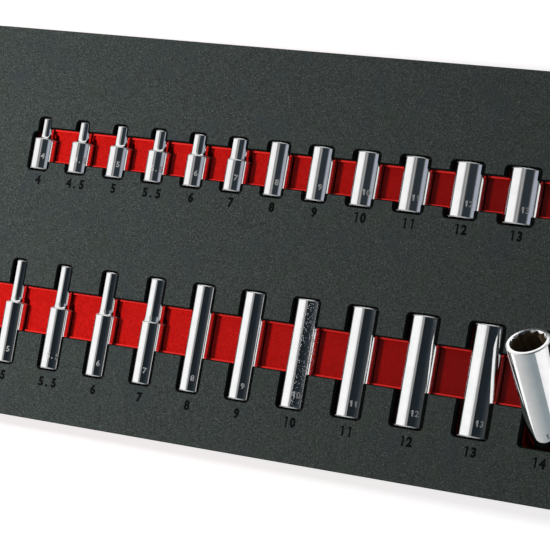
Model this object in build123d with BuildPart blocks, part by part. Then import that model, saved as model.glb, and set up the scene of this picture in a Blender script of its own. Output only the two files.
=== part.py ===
from build123d import *
import os
from math import cos, radians, sin

# Two-layer foam drawer tray with a row of shallow and a row of deep quarter-inch-drive sockets.
# Millimetres. X runs along the rows, Y to the back of the drawer, Z up.
# The origin is the middle of the underside.

# Tray
tray_length = 408.0
tray_width = 189.0
base_layer = 28.0
top_layer = 4.0
tray_corner = 3.0
top_edge_round = 0.5
cutter_radius = 2.0

# Rows, their middles measured from the tray's back and front edges
shallow_row_inset = 56.2
deep_row_inset = 50.1
shallow_gap = 11.5
deep_gap = 16.2
end_socket_inset = 26.1
shallow_channel_offset = -0.2
shallow_channel_width = 16.2
deep_channel_offset = 2.2
deep_channel_width = 21.8
channel_cut = 1.0
channel_ledge = 0.8

# Sockets, one diameter for each size from 4 to 14
shallow_length = 25.0
deep_length = 50.0
shallow_barrel = 15.0
deep_barrel = 29.5
sizes = [4, 4.5, 5, 5.5, 6, 7, 8, 9, 10, 11, 12, 13, 14]
barrel_diameters = [11.9, 11.9, 11.9, 11.9, 11.9, 11.9, 12.0, 13.0, 14.2, 15.6, 16.8, 17.9, 19.8]
nose_diameters = [6.4, 7.0, 7.6, 8.2, 8.8, 10.0]
neck_share = 0.55
neck_length = 2.6
end_chamfer = 0.5
drive_square = 6.4
drive_depth = 8.0
drive_lead = 0.5
broach_allowance = 0.15
shallow_broach = 11.0
deep_broach = 14.0
mouth_lead = 0.8
mouth_rim = 0.06
pilot_share = 0.5

# How the sockets sit in the foam
stand_proud = 2.4
seat_clearance = 0.3
side_clearance = 0.4
end_clearance = 0.5

# The last deep socket leans out of its pocket, turned about a line across the foam's top face
lean_angle = 42.0
lean_line_inset = 7.0

tray_top = base_layer + top_layer
last_x = tray_length / 2 - end_socket_inset
shallow_row_y = tray_width / 2 - shallow_row_inset
deep_row_y = deep_row_inset - tray_width / 2
lean_line_y = deep_row_y - deep_length / 2 + lean_line_inset

os.makedirs("parts", exist_ok=True)


def socket_centres(gap):
    """X of each socket: equal gaps between barrels, counted back from the last one."""
    places = [last_x]
    for small, large in zip(barrel_diameters[-2::-1], barrel_diameters[:0:-1]):
        places.append(places[-1] - (small + large) / 2 - gap)
    return places[::-1]


def nose_of(index):
    """Diameter of the nose where the size is a stepped one, and None on a straight socket."""
    return nose_diameters[index] if index < len(nose_diameters) else None


def is_leaning(row_name, index):
    return row_name == "deep" and index == len(sizes) - 1


def axis_height(index):
    return tray_top + stand_proud - barrel_diameters[index] / 2


def pocket_floor(index):
    return tray_top + stand_proud - barrel_diameters[index] - seat_clearance


rows = {
    "shallow": {
        "centres": socket_centres(shallow_gap),
        "y": shallow_row_y,
        "length": shallow_length,
        "barrel": shallow_barrel,
        "broach": shallow_broach,
        "channel_y": shallow_row_y + shallow_channel_offset,
        "channel_width": shallow_channel_width,
    },
    "deep": {
        "centres": socket_centres(deep_gap),
        "y": deep_row_y,
        "length": deep_length,
        "barrel": deep_barrel,
        "broach": deep_broach,
        "channel_y": deep_row_y + deep_channel_offset,
        "channel_width": deep_channel_width,
    },
}


pockets = [(row_name, index) for row_name in rows for index in range(len(sizes))]


def pocket_outline(row_name, index):
    """Plan of one pocket, following the stepped sockets' barrel and nose."""
    row = rows[row_name]
    x = row["centres"][index]
    socket_front = row["y"] - row["length"] / 2
    front = socket_front - end_clearance
    back = socket_front + row["length"] + end_clearance
    width = barrel_diameters[index] + 2 * side_clearance
    nose = nose_of(index)
    barrel_back = back
    if nose is not None:
        barrel_back = socket_front + row["barrel"] + neck_length + end_clearance
    with Locations((x, (front + barrel_back) / 2)):
        RectangleRounded(width, barrel_back - front, cutter_radius)
    if nose is not None:
        nose_front = barrel_back - 2 * cutter_radius
        with Locations((x, (nose_front + back) / 2)):
            RectangleRounded(nose + 2 * side_clearance, back - nose_front, cutter_radius)


def channel_outline(row_name, inset):
    """Finger channel from the first pocket's middle to the last one's."""
    row = rows[row_name]
    first = row["centres"][0]
    last = row["centres"][-1]
    with Locations(((first + last) / 2, row["channel_y"])):
        Rectangle(last - first, row["channel_width"] - 2 * inset)


# Lower foam layer: the pockets' floors and the shallow cut of the finger channels
with BuildPart() as foam_base:
    with BuildSketch(Plane.XY):
        RectangleRounded(tray_length, tray_width, tray_corner)
    extrude(amount=base_layer)
    with BuildSketch(Plane.XY.offset(base_layer)):
        for row_name in rows:
            channel_outline(row_name, channel_ledge)
    extrude(amount=-channel_cut, mode=Mode.SUBTRACT)
    for floor in sorted({pocket_floor(index) for row_name, index in pockets}):
        with BuildSketch(Plane.XY.offset(floor)):
            for row_name, index in pockets:
                if pocket_floor(index) == floor:
                    pocket_outline(row_name, index)
        extrude(amount=base_layer - floor, mode=Mode.SUBTRACT)

# Upper foam layer: cut right through over pockets and channels, its top edges eased
with BuildPart() as foam_top:
    with BuildSketch(Plane.XY.offset(base_layer)):
        RectangleRounded(tray_length, tray_width, tray_corner)
        with BuildSketch(Plane.XY.offset(base_layer), mode=Mode.SUBTRACT):
            for row_name in rows:
                channel_outline(row_name, 0)
            for row_name, index in pockets:
                pocket_outline(row_name, index)
    extrude(amount=top_layer)
    top_edges = foam_top.faces().sort_by(Axis.Z)[-1].edges()
    chamfer(top_edges, top_edge_round)

for foam, label in ((foam_base, "foam_base"), (foam_top, "foam_top")):
    foam.part.label = label
    export_step(foam.part, "parts/" + label + ".step")


def make_socket(label, index, length, barrel, broach, start, direction):
    """One socket: turned outside, square drive at the start, twelve-point broach at the mouth."""
    size = sizes[index]
    barrel_r = barrel_diameters[index] / 2
    nose = nose_of(index)
    across_flats = size + broach_allowance
    mouth = start + direction * length
    mouth_r = barrel_r if nose is None else nose / 2
    along = Plane(origin=start, x_dir=direction, z_dir=(1, 0, 0))
    drive_plane = Plane(origin=start, x_dir=(1, 0, 0), z_dir=direction)
    mouth_plane = Plane(origin=mouth, x_dir=(1, 0, 0), z_dir=direction)
    corner_r = across_flats / 2 / cos(radians(30))
    pilot_r = across_flats / 2 * (1 - pilot_share) + corner_r * pilot_share
    with BuildPart() as socket:
        with BuildSketch(along):
            with BuildLine():
                Polyline((0, 0), (0, barrel_r - end_chamfer), (end_chamfer, barrel_r))
                if nose is None:
                    Line((end_chamfer, barrel_r), (length - end_chamfer, barrel_r))
                else:
                    neck_r = mouth_r + (barrel_r - mouth_r) * neck_share
                    neck_end = barrel + neck_length
                    Polyline(
                        (end_chamfer, barrel_r),
                        (barrel - end_chamfer, barrel_r),
                        (barrel, barrel_r - end_chamfer),
                        (barrel, neck_r),
                    )
                    TangentArc((neck_end, mouth_r), (barrel, neck_r), tangent=(-1, 0))
                    Line((neck_end, mouth_r), (length - end_chamfer, mouth_r))
                Polyline(
                    (length - end_chamfer, mouth_r),
                    (length, mouth_r - end_chamfer),
                    (length, 0),
                    (0, 0),
                )
            make_face()
        revolve(axis=Axis(start, direction))
        with BuildSketch(mouth_plane):
            RegularPolygon(across_flats / 2, 6, major_radius=False)
            RegularPolygon(across_flats / 2, 6, major_radius=False, rotation=30)
        extrude(amount=-broach, mode=Mode.SUBTRACT)
        with BuildSketch(mouth_plane):
            Circle(corner_r + mouth_rim)
        extrude(amount=-mouth_lead, taper=45, mode=Mode.SUBTRACT)
        with BuildSketch(drive_plane.offset(drive_depth)):
            Circle(pilot_r)
        extrude(amount=length - broach - drive_depth, mode=Mode.SUBTRACT)
        with BuildSketch(drive_plane):
            Rectangle(drive_square, drive_square)
        extrude(amount=drive_depth, mode=Mode.SUBTRACT)
        with BuildSketch(drive_plane):
            Rectangle(drive_square + 2 * drive_lead, drive_square + 2 * drive_lead)
        extrude(amount=drive_lead, taper=45, mode=Mode.SUBTRACT)
    socket.part.label = label
    export_step(socket.part, "parts/" + label + ".step")


def leaned(point):
    """Where a point of the lying last deep socket goes when the socket leans out of its pocket."""
    turn = radians(lean_angle)
    dy = point.Y - lean_line_y
    dz = point.Z - tray_top
    return Vector(
        point.X,
        lean_line_y + dy * cos(turn) - dz * sin(turn),
        tray_top + dy * sin(turn) + dz * cos(turn),
    )


for row_name, row in rows.items():
    for index, size in enumerate(sizes):
        start = Vector(row["centres"][index], row["y"] - row["length"] / 2, axis_height(index))
        direction = Vector(0, 1, 0)
        if is_leaning(row_name, index):
            start = leaned(start)
            direction = Vector(0, cos(radians(lean_angle)), sin(radians(lean_angle)))
        label = row_name + "_" + str(size).replace(".", "_")
        make_socket(label, index, row["length"], row["barrel"], row["broach"], start, direction)
        print(label, "axis starts at", [round(value, 3) for value in start])
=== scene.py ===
import math

import bmesh
import bpy
from mathutils import Matrix, Quaternion, Vector


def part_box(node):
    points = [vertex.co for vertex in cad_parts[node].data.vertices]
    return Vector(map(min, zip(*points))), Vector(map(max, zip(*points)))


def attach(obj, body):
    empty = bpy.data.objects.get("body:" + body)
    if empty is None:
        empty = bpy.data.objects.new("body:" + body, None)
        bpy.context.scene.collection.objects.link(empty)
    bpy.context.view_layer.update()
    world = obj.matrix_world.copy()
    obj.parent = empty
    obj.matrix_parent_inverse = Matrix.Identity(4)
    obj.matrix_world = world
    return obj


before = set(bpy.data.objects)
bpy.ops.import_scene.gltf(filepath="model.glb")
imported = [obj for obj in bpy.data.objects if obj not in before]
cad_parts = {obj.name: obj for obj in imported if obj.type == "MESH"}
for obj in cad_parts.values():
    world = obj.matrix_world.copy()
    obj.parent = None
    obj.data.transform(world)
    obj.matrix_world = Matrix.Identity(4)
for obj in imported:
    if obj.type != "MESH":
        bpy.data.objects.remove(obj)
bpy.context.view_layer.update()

mm = 0.001
print("frame loaded:", len(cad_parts), "CAD nodes")

mixFirst, mixSecond, mixResult = 6, 7, 2  # the colour sockets of a Mix node


class Link:  # an output socket of a node tree, so that shader maths reads as plain maths
    def __init__(self, tree, socket=None):
        self.tree = tree
        self.socket = socket

    def node(self, kind, settings=None, inputs=None, output=0):
        made = self.tree.nodes.new(kind)
        for name, value in (settings or {}).items():
            if name == "stops":  # a ramp's places and colours
                elements = made.color_ramp.elements
                while len(elements) < len(value):
                    elements.new(0.5)  # it goes to its place below
                for element, (place, colour) in zip(elements, value):
                    element.position = place
                    element.color = (*colour, 1)
            else:
                setattr(made, name, value)
        for name, value in (inputs or {}).items():
            if isinstance(value, Link):
                self.tree.links.new(value.socket, made.inputs[name])
            else:
                made.inputs[name].default_value = value
        return Link(self.tree, made.outputs[output] if made.outputs else None)

    def other(self, output):  # another output of the same node
        return Link(self.tree, self.socket.node.outputs[output])

    def maths(self, operation, *values):
        return self.node("ShaderNodeMath", {"operation": operation}, dict(enumerate(values)))

    def __add__(self, value):
        return self.maths("ADD", self, value)

    __radd__ = __add__

    def __sub__(self, value):
        return self.maths("SUBTRACT", self, value)

    def __rsub__(self, value):
        return self.maths("SUBTRACT", value, self)

    def __mul__(self, value):
        return self.maths("MULTIPLY", self, value)

    __rmul__ = __mul__

    def band(self, low, high):  # 0 below low, 1 above high, smooth between
        return self.node(
            "ShaderNodeMapRange",
            {"interpolation_type": "SMOOTHSTEP"},
            {"Value": self, "From Min": low, "From Max": high},
        )

    def noise(self, scale, detail, rough, distortion=0.0):
        inputs = {"Scale": scale, "Detail": detail, "Roughness": rough, "Distortion": distortion}
        return self.node("ShaderNodeTexNoise", None, {"Vector": self, **inputs}, "Fac")

    def scratches(self, stretch, *noise):  # noise drawn out or pushed together along each axis
        drawn = self.node("ShaderNodeMapping", None, {"Vector": self, "Scale": stretch})
        return drawn.noise(*noise)

    def along(self, axis):  # one of the coordinates
        return self.node("ShaderNodeSeparateXYZ", None, {"Vector": self}, axis)

    def blend(self, first, second):  # this value mixes two colours
        colours = [c if isinstance(c, Link) else (*c, 1) for c in (first, second)]
        inputs = {"Factor": self, mixFirst: colours[0], mixSecond: colours[1]}
        return self.node("ShaderNodeMix", {"data_type": "RGBA"}, inputs, mixResult)


def shade(tone):  # a grey given as one number, or a colour
    return tone if isinstance(tone, tuple) else (tone, tone, tone)


def startMaterial(name):  # an empty material, its first link and its coordinates in millimetres
    material = bpy.data.materials.new(name)
    material.use_nodes = True
    tree = material.node_tree
    tree.nodes.clear()
    start = Link(tree)
    place = start.node("ShaderNodeTexCoord", output="Object")
    scaled = {0: place, "Scale": 1 / mm}
    return material, start, start.node("ShaderNodeVectorMath", {"operation": "SCALE"}, scaled)


def finishMaterial(material, start, colour, roughness, height, spec):
    strength, depth = spec["relief"]
    bumpInputs = {"Strength": strength, "Distance": depth * mm, "Height": height}
    bump = start.node("ShaderNodeBump", None, bumpInputs, "Normal")
    inputs = {"Base Color": colour, "Roughness": roughness, "Normal": bump, **spec["fixed"]}
    surface = start.node("ShaderNodeBsdfPrincipled", None, inputs, "BSDF")
    start.node("ShaderNodeOutputMaterial", None, {"Surface": surface})
    return material


# A noise is given as grains to a millimetre, detail, roughness and at times distortion, and a
# band as where a value begins to count and where it counts in full. A patch is a noise, its band,
# share and colour. Painted shade or highlight is an axis, its band in millimetres, share and
# colour, which darkens or lightens the colour along that axis. Roughness is the least and what
# the noise adds. Height is the shares of two noises in the bump. Relief is the bump's strength and
# depth in millimetres.

blackSheet = {
    "grain": (1.3, 2.0, 0.6),
    "fine": (2.1, 2.0, 0.5),
    "band": (0.32, 0.66),
    "colours": ((0.024, 0.030, 0.028), (0.052, 0.062, 0.057)),
    "patches": [  # light flecks, then a blue and a green cast
        ((1.6, 1.0, 0.5), (0.58, 0.70), 0.65, (0.140, 0.158, 0.146)),
        ((0.075, 2.0, 0.5), (0.52, 0.72), 0.45, (0.037, 0.044, 0.054)),
        ((0.11, 2.0, 0.5, 0.3), (0.54, 0.74), 0.4, (0.040, 0.054, 0.042)),
    ],
    "paintedShadeAndHighlight": [],
    "roughness": (0.74, 0.18),
    "height": (0.65, 0.35),
    "relief": (0.5, 0.16),
    "fixed": {"Specular IOR Level": 0.3},
}
redSheet = {
    "grain": (0.9, 3.0, 0.6),
    "fine": (2.6, 2.0, 0.5),
    "band": (0.30, 0.66),
    "colours": ((0.44, 0.0040, 0.0030), (0.60, 0.0085, 0.0060)),
    "patches": [((0.16, 3.0, 0.6, 0.4), (0.52, 0.72), 0.45, (0.44, 0.0040, 0.0030))],
    "paintedShadeAndHighlight": [  # painted shade: the red darkens towards the right, standing in for light falling off there; painted highlight: lighter on the ledge beside the channels
        ("X", (-40.0, 185.0), 0.95, (0.15, 0.0012, 0.0010)),
        ("Z", (27.5, 27.9), 1.0, (0.86, 0.030, 0.024)),
    ],
    "roughness": (0.66, 0.2),
    "height": (0.6, 0.4),
    "relief": (0.4, 0.15),
    "fixed": {"Specular IOR Level": 0.3},
}


def makeFoam(name, spec):
    material, start, place = startMaterial(name)
    grain, fine = place.noise(*spec["grain"]), place.noise(*spec["fine"])
    body = grain.band(*spec["band"]).blend(*spec["colours"])
    for noise, band, share, colour in spec["patches"]:
        body = (place.noise(*noise).band(*band) * share).blend(body, colour)
    # painted shade and painted highlight along an axis
    for axis, band, share, colour in spec["paintedShadeAndHighlight"]:
        body = (place.along(axis).band(*band) * share).blend(body, colour)
    height = grain * spec["height"][0] + fine * spec["height"][1]
    least, added = spec["roughness"]
    return finishMaterial(material, start, body, least + fine * added, height, spec)


pocketWallShade = {  # painted shade: the walls round pockets and channels are coloured far darker than the foam's top, standing in for the shade inside them
    "grain": (1.3, 2.0, 0.6),
    "band": (0.35, 0.7),
    "colours": ((0.0035, 0.0042, 0.0040), (0.0075, 0.0090, 0.0085)),
    "roughness": (0.82, 0.12),
    "relief": (0.5, 0.16),
    "fixed": {"Specular IOR Level": 0.12},
}
bore = {
    "grain": (0.5, 3.0, 0.6),
    "band": (0.42, 0.75),
    "colours": ((0.120, 0.088, 0.048), (0.26, 0.20, 0.125)),
    "scratches": ((3.0, 0.5, 3.0), 1.0, 3.0, 0.6),
    "roughness": (0.36, 0.25),
    "relief": (0.4, 0.06),
    "fixed": {"Metallic": 0.4},
}
stampFace = {
    "grain": (5.0, 2.0, 0.6),
    "band": (0.35, 0.7),
    "colours": ((0.66, 0.66, 0.65), (0.80, 0.80, 0.79)),
    "roughness": (0.42, 0.2),
    "relief": (0.5, 0.04),
    "fixed": {"Metallic": 0.35},
}
ink = {
    "grain": (1.6, 3.0, 0.6),
    "band": (0.35, 0.75),
    "colours": ((0.0035, 0.0040, 0.0040), (0.009, 0.010, 0.010)),
    "roughness": (0.75, 0.15),
    "relief": (0.6, 0.2),
    "fixed": {"Specular IOR Level": 0.05},
}


def makeFinish(name, spec):  # one noise sets the colour and roughness, and the relief too if alone
    material, start, place = startMaterial(name)
    grain = place.noise(*spec["grain"])
    body = grain.band(*spec["band"]).blend(*spec["colours"])
    height = place.scratches(*spec["scratches"]) if "scratches" in spec else grain
    least, added = spec["roughness"]
    return finishMaterial(material, start, body, least + grain * added, height, spec)


chrome = {
    "cloud": (0.22, 2.0, 0.5),
    "band": (0.35, 0.7),
    "colours": ((0.955, 0.958, 0.955), (0.90, 0.905, 0.905)),
    "wave": (0.35, 1.0, 0.4),
    "scratches": ((6.0, 0.35, 6.0), 1.0, 2.0, 0.6),
    "height": (0.8, 0.2),
    "scuffed": 0.05,  # what the scratches add to the roughness
    "relief": (0.25, 0.03),
    "pittedSocket": "deep_10",
    "pittedRelief": (1.0, 0.09),
    "pittedFrom": (0.4, 2.4),  # how far right of the axis the pits begin
    "pits": 1.25,  # cells to a millimetre
    "bare": 0.42,  # cells of a darker grey hold no pit
    "pitSide": (0.08, 0.42),  # from the middle of its cell, in cells
}


def makePlate(name, rough, metal=1.0, pitted=False):
    material, start, place = startMaterial(name)
    cloud, wave = place.noise(*chrome["cloud"]), place.noise(*chrome["wave"])
    scratch = place.scratches(*chrome["scratches"])
    body = cloud.band(*chrome["band"]).blend(*chrome["colours"])
    height = wave * chrome["height"][0] + scratch * chrome["height"][1]
    if pitted:
        cells = {"Vector": place, "Scale": chrome["pits"]}
        cell = place.node("ShaderNodeTexVoronoi", None, cells, "Distance")
        grey = cell.node("ShaderNodeRGBToBW", None, {"Color": cell.other("Color")})
        chosen = grey.maths("GREATER_THAN", grey, chrome["bare"])
        low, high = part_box(chrome["pittedSocket"])
        across = place.along("X") - (low.x + high.x) / 2 / mm
        pit = (1 - cell.band(*chrome["pitSide"])) * chosen * across.band(*chrome["pittedFrom"])
        height = 1 - pit
    relief = chrome["pittedRelief" if pitted else "relief"]
    roughness = rough + scratch * chrome["scuffed"]
    spec = {"relief": relief, "fixed": {"Metallic": metal}}
    return finishMaterial(material, start, body, roughness, height, spec)


blackFoam = makeFoam("blackFoam", blackSheet)
# the walls' material, with painted shade
shadedFoamWall = makeFinish("shadedFoamWall", pocketWallShade)
redFoam = makeFoam("redFoam", redSheet)
plate = makePlate("polishedPlate", rough=0.03)
pittedPlate = makePlate("pittedPlate", rough=0.04, pitted=True)
edgePlate = makePlate("softEdge", rough=0.30, metal=0.7)
boreSteel = makeFinish("boreSteel", bore)
stampedMark = makeFinish("stampedMark", stampFace)
numberCut = makeFinish("numberCut", ink)
print("materials made")


socketSizes = [4, 4.5, 5, 5.5, 6, 7, 8, 9, 10, 11, 12, 13, 14]
rows = {
    "shallow": {"numberY": 20.6, "shoulder": 15.0},
    "deep": {"numberY": -75.7, "shoulder": 29.5},
}
lean = {"node": "deep_14", "angle": 42.0}
# A face of the black foam is a cut's wall where it lies this far inside the outer edge, in
# millimetres, and its normal's height is below level. The wall's material is the second one,
# which paints shade on the walls.
foamCut = {"inset": 1.0, "level": 0.95, "material": 1}
# How a socket's faces are told apart. Outward and lengthwise are cosines of their normals.
faceRules = {
    "onAxis": 1e-9,  # metres, and a face nearer the axis has no outward side
    "boreOutward": -0.85,
    "stepMargin": 0.3,  # a step of the bore is this far from both ends, in millimetres
    "stepLengthwise": 0.9,
    "stepReach": 0.75,  # as a share of the radius
    "stepOutward": 0.5,
    "edgeWidth": 0.55,  # millimetres
    "edgeLengthwise": (0.5, 0.9),
    "edgeOutward": 0.4,
}
plateFace, boreFace, edgeFace = 0, 1, 2  # the places of a socket's materials


def socketName(rowName, size):
    return rowName + "_" + str(size).replace(".", "_")


def dress(node, *materials):
    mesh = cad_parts[node].data
    mesh.materials.clear()
    for material in materials:
        mesh.materials.append(material)
    for polygon in mesh.polygons:
        polygon.material_index = 0
    return mesh


def socketAxis(node):  # middle of the drive end, directions along and up, radius and length
    angle = math.radians(lean["angle"]) if node == lean["node"] else 0.0
    along = Vector((0, math.cos(angle), math.sin(angle)))
    up = Vector((0, -math.sin(angle), math.cos(angle)))
    points = [vertex.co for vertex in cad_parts[node].data.vertices]
    x = [p.x for p in points]
    u = [p.dot(up) for p in points]
    a = [p.dot(along) for p in points]
    start = Vector(((min(x) + max(x)) / 2, 0, 0)) + up * (min(u) + max(u)) / 2 + along * min(a)
    radius = (max(x) - min(x)) / 2
    return start, along, up, radius, max(a) - min(a)


def isBore(depth, outward, lengthwise, reach, length):  # its walls, and the steps between them
    margin = faceRules["stepMargin"] * mm
    flat = lengthwise > faceRules["stepLengthwise"] and outward < faceRules["stepOutward"]
    step = margin < depth < length - margin and flat and reach < faceRules["stepReach"]
    return outward < faceRules["boreOutward"] or step


def isEdge(depth, outward, lengthwise, shoulder, length):
    width = faceRules["edgeWidth"] * mm
    low, high = faceRules["edgeLengthwise"]
    near = min(depth, length - depth, abs(depth - shoulder * mm + width / 2)) < width
    return near and low < lengthwise < high and outward > faceRules["edgeOutward"]


def finishOf(polygon, axis, shoulder):
    start, along, up, radius, length = axis
    arm = polygon.center - start
    depth = arm.dot(along)
    radial = arm - along * depth
    lengthwise = abs(polygon.normal.dot(along))
    offAxis = radial.length > faceRules["onAxis"]
    outward = polygon.normal.dot(radial.normalized()) if offAxis else 0
    if isBore(depth, outward, lengthwise, radial.length / radius, length):
        return boreFace
    return edgeFace if isEdge(depth, outward, lengthwise, shoulder, length) else plateFace


dress("foam_base", redFoam)
sheet = dress("foam_top", blackFoam, shadedFoamWall)
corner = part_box("foam_top")[1]
inset = foamCut["inset"] * mm
for polygon in sheet.polygons:
    middle = polygon.center
    inside = abs(middle.x) < corner.x - inset and abs(middle.y) < corner.y - inset
    if inside and abs(polygon.normal.z) < foamCut["level"]:
        polygon.material_index = foamCut["material"]
axes = {}
for rowName, row in rows.items():
    for size in socketSizes:
        node = socketName(rowName, size)
        skin = pittedPlate if node == chrome["pittedSocket"] else plate
        mesh = dress(node, skin, boreSteel, edgePlate)
        axes[node] = socketAxis(node)
        for polygon in mesh.polygons:
            polygon.material_index = finishOf(polygon, axes[node], row["shoulder"])
print("CAD pieces dressed:", len(axes), "sockets")


# Heights and distances in millimetres. Bold thickens the strokes, as a share of the letter size.
numbers = {
    "height": 4.75,
    "gap": 3.95,  # from one figure to the next
    "pointShift": -0.35,
    "shift": 1.6,  # to the right of the socket's axis
    "bold": 0.052,
    "rise": 0.03,  # above the foam, and as much below its face
}
stamps = {
    "height": 2.8,
    "gap": 2.15,
    "pointShift": -0.15,
    "along": 6.4,  # from the drive end
    "turn": 32.0,  # degrees to the right of straight up
    "bold": 0.026,
    "rise": 0.02,
    "edge": 0.3,  # the longest edge, so that figures can bend round a barrel
    "rounds": 5,  # of splitting, at most
}
letterSteps = 3  # parts of a letter's curve
# outline of a figure one with a slanting flag, in a letter one unit high
figureOne = [
    (0.21, 0), (0.40, 0), (0.40, 1), (0.26, 1), (0.02, 0.90), (0.02, 0.77), (0.21, 0.84),
]
glyphs = {}


def letterMesh(letter, bold):
    curve = bpy.data.curves.new("letter", "FONT")
    curve.body = letter
    curve.resolution_u = letterSteps
    curve.offset = bold
    holder = bpy.data.objects.new("letter", curve)
    bpy.context.scene.collection.objects.link(holder)
    bpy.context.view_layer.update()
    ready = holder.evaluated_get(bpy.context.evaluated_depsgraph_get())
    mesh = bpy.data.meshes.new_from_object(ready)
    bpy.data.objects.remove(holder)
    return mesh


def glyph(letter, bold):  # points and faces of one figure, one unit high and centred sideways
    if (letter, bold) not in glyphs:
        if letter == "1":
            points, faces, low, unit = figureOne, [tuple(range(len(figureOne)))], 0.0, 1.0
        else:
            mesh = letterMesh(letter, bold)
            eight = [v.co.y for v in letterMesh("8", bold).vertices]  # figures share its height
            low, unit = min(eight), max(eight) - min(eight)
            points = [(v.co.x, v.co.y) for v in mesh.vertices]
            faces = [tuple(polygon.vertices) for polygon in mesh.polygons]
        middle = (min(p[0] for p in points) + max(p[0] for p in points)) / 2
        placed = [((x - middle) / unit, (y - low) / unit - 0.5) for x, y in points]
        glyphs[(letter, bold)] = placed, faces
    return glyphs[(letter, bold)]


def addNumber(shape, text, spec):  # lays a number's figures side by side, centred, in millimetres
    high = spec["height"]
    for index, letter in enumerate(text):
        offset = (index - (len(text) - 1) / 2) * spec["gap"]
        if letter == ".":
            offset += spec["pointShift"]
        points, faces = glyph(letter, spec["bold"])
        made = [shape.verts.new((x * high + offset, y * high, 0)) for x, y in points]
        for face in faces:
            shape.faces.new([made[i] for i in face])


def newPiece(name, shape, material, body, smooth=False):
    mesh = bpy.data.meshes.new(name)
    shape.normal_update()
    shape.to_mesh(mesh)
    shape.free()
    mesh.materials.append(material)
    for polygon in mesh.polygons:
        polygon.use_smooth = smooth
    piece = bpy.data.objects.new(name, mesh)
    bpy.context.scene.collection.objects.link(piece)
    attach(piece, body)


def thicken(shape, amount):  # turns flat figures into a thin slab
    sides = bmesh.ops.extrude_face_region(shape, geom=shape.faces[:])
    for item in sides["geom"]:
        if isinstance(item, bmesh.types.BMVert):
            item.co.z += amount
    bmesh.ops.recalc_face_normals(shape, faces=shape.faces[:])


def splitLongEdges(shape, longest, rounds):
    bmesh.ops.triangulate(shape, faces=shape.faces[:])
    while rounds:
        tooLong = [edge for edge in shape.edges if edge.calc_length() > longest]
        if not tooLong:
            break
        bmesh.ops.subdivide_edges(shape, edges=tooLong, cuts=1)
        bmesh.ops.triangulate(shape, faces=shape.faces[:])
        rounds -= 1


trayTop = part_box("foam_top")[1].z
for rowName, row in rows.items():
    for size in socketSizes:
        node = socketName(rowName, size)
        shape = bmesh.new()
        addNumber(shape, str(size), numbers)
        thicken(shape, 2 * numbers["rise"])
        right = axes[node][0].x + numbers["shift"] * mm
        middle = Vector((right, row["numberY"] * mm, trayTop))
        for vert in shape.verts:
            vert.co = middle + (vert.co - Vector((0, 0, numbers["rise"]))) * mm
        newPiece("number_" + node, shape, numberCut, "tray")
print("numbers beside the pockets made")

# the sizes stamped round the barrels, near the drive ends
for node in axes:
    start, along, up, radius = axes[node][:4]
    shape = bmesh.new()
    addNumber(shape, node.split("_", 1)[1].replace("_", "."), stamps)
    splitLongEdges(shape, stamps["edge"], stamps["rounds"])
    for vert in shape.verts:
        angle = math.radians(stamps["turn"]) + vert.co.x * mm / radius
        outward = Vector((math.sin(angle), 0, 0)) + up * math.cos(angle)
        place = start + along * (stamps["along"] + vert.co.y) * mm
        vert.co = place + outward * (radius + stamps["rise"] * mm)
    newPiece("stamp_" + node, shape, stampedMark, node, True)
print("stamped sizes made")


floor = {
    "reach": 6.0,  # metres to each side
    "below": 0.1,
    "colour": (0.52, 0.52, 0.52),
    "roughness": 0.9,
    "specular": 0.1,
    "glow": 0.76,  # for rays of the camera, of mirrors and of clear things
}


def makeFloor():
    reach, level = floor["reach"], -floor["below"] * mm
    corners = [(-reach, -reach), (reach, -reach), (reach, reach), (-reach, reach)]
    mesh = bpy.data.meshes.new("floor")
    mesh.from_pydata([(x, y, level) for x, y in corners], [], [(0, 1, 2, 3)])
    piece = bpy.data.objects.new("floor", mesh)
    bpy.context.scene.collection.objects.link(piece)
    material, start = startMaterial("paleFloor")[:2]
    path = start.node("ShaderNodeLightPath", output="Is Camera Ray")
    seen = path + path.other("Is Glossy Ray") + path.other("Is Transmission Ray")
    inputs = {
        "Base Color": (*floor["colour"], 1),
        "Roughness": floor["roughness"],
        "Specular IOR Level": floor["specular"],
        "Emission Color": seen.blend(shade(0.0), shade(1.0)),
        "Emission Strength": floor["glow"],
    }
    surface = start.node("ShaderNodeBsdfPrincipled", None, inputs, "BSDF")
    start.node("ShaderNodeOutputMaterial", None, {"Surface": surface})
    mesh.materials.append(material)


makeFloor()

keyLamp = {"at": (-0.40, 0.0, 0.50), "aim": (0.0, 0.0, 0.03), "size": 0.08, "power": 3.4}


def aimed(spec):  # the turn of a lamp or camera that looks from its place at its aim
    return (Vector(spec["aim"]) - Vector(spec["at"])).to_track_quat("-Z", "Y")


def makeLamp():
    light = bpy.data.lights.new("keyLamp", "AREA")
    light.shape = "SQUARE"
    light.size = keyLamp["size"]
    light.energy = keyLamp["power"]
    lamp = bpy.data.objects.new("keyLamp", light)
    bpy.context.scene.collection.objects.link(lamp)
    lamp.location = keyLamp["at"]
    lamp.rotation_mode = "QUATERNION"
    lamp.rotation_quaternion = aimed(keyLamp)
    lamp.visible_glossy = False
    lamp.visible_camera = False


makeLamp()


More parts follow.
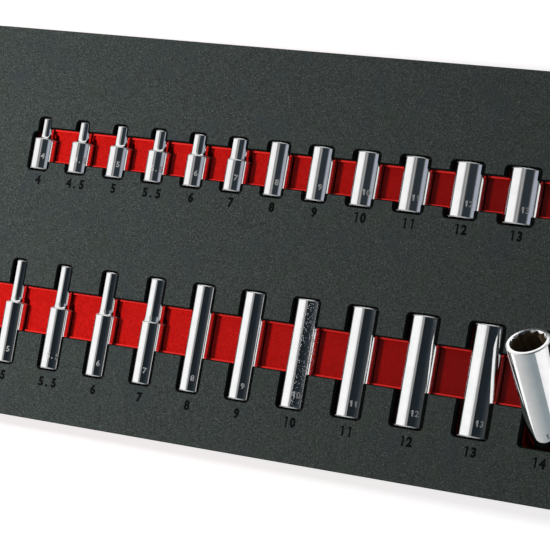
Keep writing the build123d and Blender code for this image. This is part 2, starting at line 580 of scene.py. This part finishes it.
# What the chrome mirrors: greys round the room by angle from straight up, minus to the left,
# for the deep row and for the shallow row, and along the front and back walls from left to right.
# Splits, fades and the walls' top are heights or depths of a direction one unit long.
room = {
    "ambient": 0.20,
    "deepRow": [
        (-100, 0.78), (-75, 0.98), (-35, 1.0), (-20, 0.86), (-17.5, 0.36), (-13, 0.28),
        (-5, 0.30), (-2.5, 0.030), (0, (0.011, 0.015, 0.019)), (40, (0.014, 0.020, 0.025)),
        (58, (0.034, 0.042, 0.050)), (71, 0.055), (73, 0.16), (76, 0.84),
        (79, 0.33), (86, 0.36), (89, 0.66), (110, 0.30),
    ],
    "shallowRow": [
        (-100, 0.80), (-75, 0.96), (-33, 0.93), (-27, 0.82), (-23, 0.27), (-18, 0.22),
        (-10, 0.36), (-4, 0.29), (1, 0.045), (8, (0.022, 0.030, 0.037)),
        (45, (0.024, 0.032, 0.040)), (51, 0.12), (57, (0.35, 0.38, 0.45)),
        (74, (0.37, 0.40, 0.47)), (78, 0.26), (84, 0.26), (88, 0.66), (110, 0.30),
    ],
    "rowSplit": (0.055, 0.072),
    "front": [(-0.6, 0.58), (0.4, (0.26, 0.30, 0.32)), (0.8, (0.26, 0.30, 0.32)), (0.9, 0.60)],
    "frontFade": (0.35, 0.70),
    "back": [(-1.0, 0.95), (0.54, 0.92), (0.62, 0.10), (0.84, 0.07), (0.90, 0.60), (1.0, 0.50)],
    "backFade": (0.45, 0.75),
    "wallTop": (0.34, 0.42),  # front and back walls end here, and the stripes go on above
}
halfTurn = 180


def ramp(value, low, high, stops):  # shades along a value, their places given between low and high
    placed = [((place - low) / (high - low), shade(tone)) for place, tone in stops]
    share = value * (1 / (high - low)) - low / (high - low)
    return value.node("ShaderNodeValToRGB", {"stops": placed}, {"Fac": share}, "Color")


def makeRoom():
    world = bpy.data.worlds.new("room")
    bpy.context.scene.world = world
    world.use_nodes = True
    world.node_tree.nodes.clear()
    sky = Link(world.node_tree)
    x = sky.node("ShaderNodeTexCoord", output="Generated").along("X")
    y, z = x.other("Y"), x.other("Z")
    angle = sky.maths("ARCTAN2", x, z) * math.degrees(1)
    deepRow = ramp(angle, -halfTurn, halfTurn, room["deepRow"])
    shallowRow = ramp(angle, -halfTurn, halfTurn, room["shallowRow"])
    seen = y.band(*room["rowSplit"]).blend(deepRow, shallowRow)
    onWall = 1 - z.band(*room["wallTop"])
    front = (0 - y).band(*room["frontFade"]) * onWall
    back = y.band(*room["backFade"]) * onWall
    seen = front.blend(seen, ramp(x, -1, 1, room["front"]))
    seen = back.blend(seen, ramp(x, -1, 1, room["back"]))
    path = sky.node("ShaderNodeLightPath", output="Is Camera Ray")
    seen = path.other("Is Glossy Ray").blend(shade(room["ambient"]), seen)
    seen = (path + path.other("Is Transmission Ray")).blend(seen, shade(1.0))
    background = sky.node("ShaderNodeBackground", None, {"Color": seen}, "Background")
    sky.node("ShaderNodeOutputWorld", None, {"Surface": background})


makeRoom()

camera = {
    "lens": 209.43,
    "sensor": 36.0,
    "clip": (0.05, 30.0),
    "at": (0.87343, -0.09330, 1.22816),
    "aim": (0.025621, -0.010246, 0.032),
    "roll": -75.5274,  # degrees, which sets the rows across the picture
}


def makeCamera():
    lens = bpy.data.cameras.new("camera")
    lens.lens = camera["lens"]
    lens.sensor_width = camera["sensor"]
    lens.clip_start, lens.clip_end = camera["clip"]
    eye = bpy.data.objects.new("camera", lens)
    bpy.context.scene.collection.objects.link(eye)
    turned = aimed(camera) @ Quaternion((0, 0, 1), math.radians(camera["roll"]))
    eye.matrix_world = Matrix.Translation(camera["at"]) @ turned.to_matrix().to_4x4()
    bpy.context.scene.camera = eye


makeCamera()
bpy.context.scene.view_settings.view_transform = "Standard"
print("floor, light, room and camera placed")
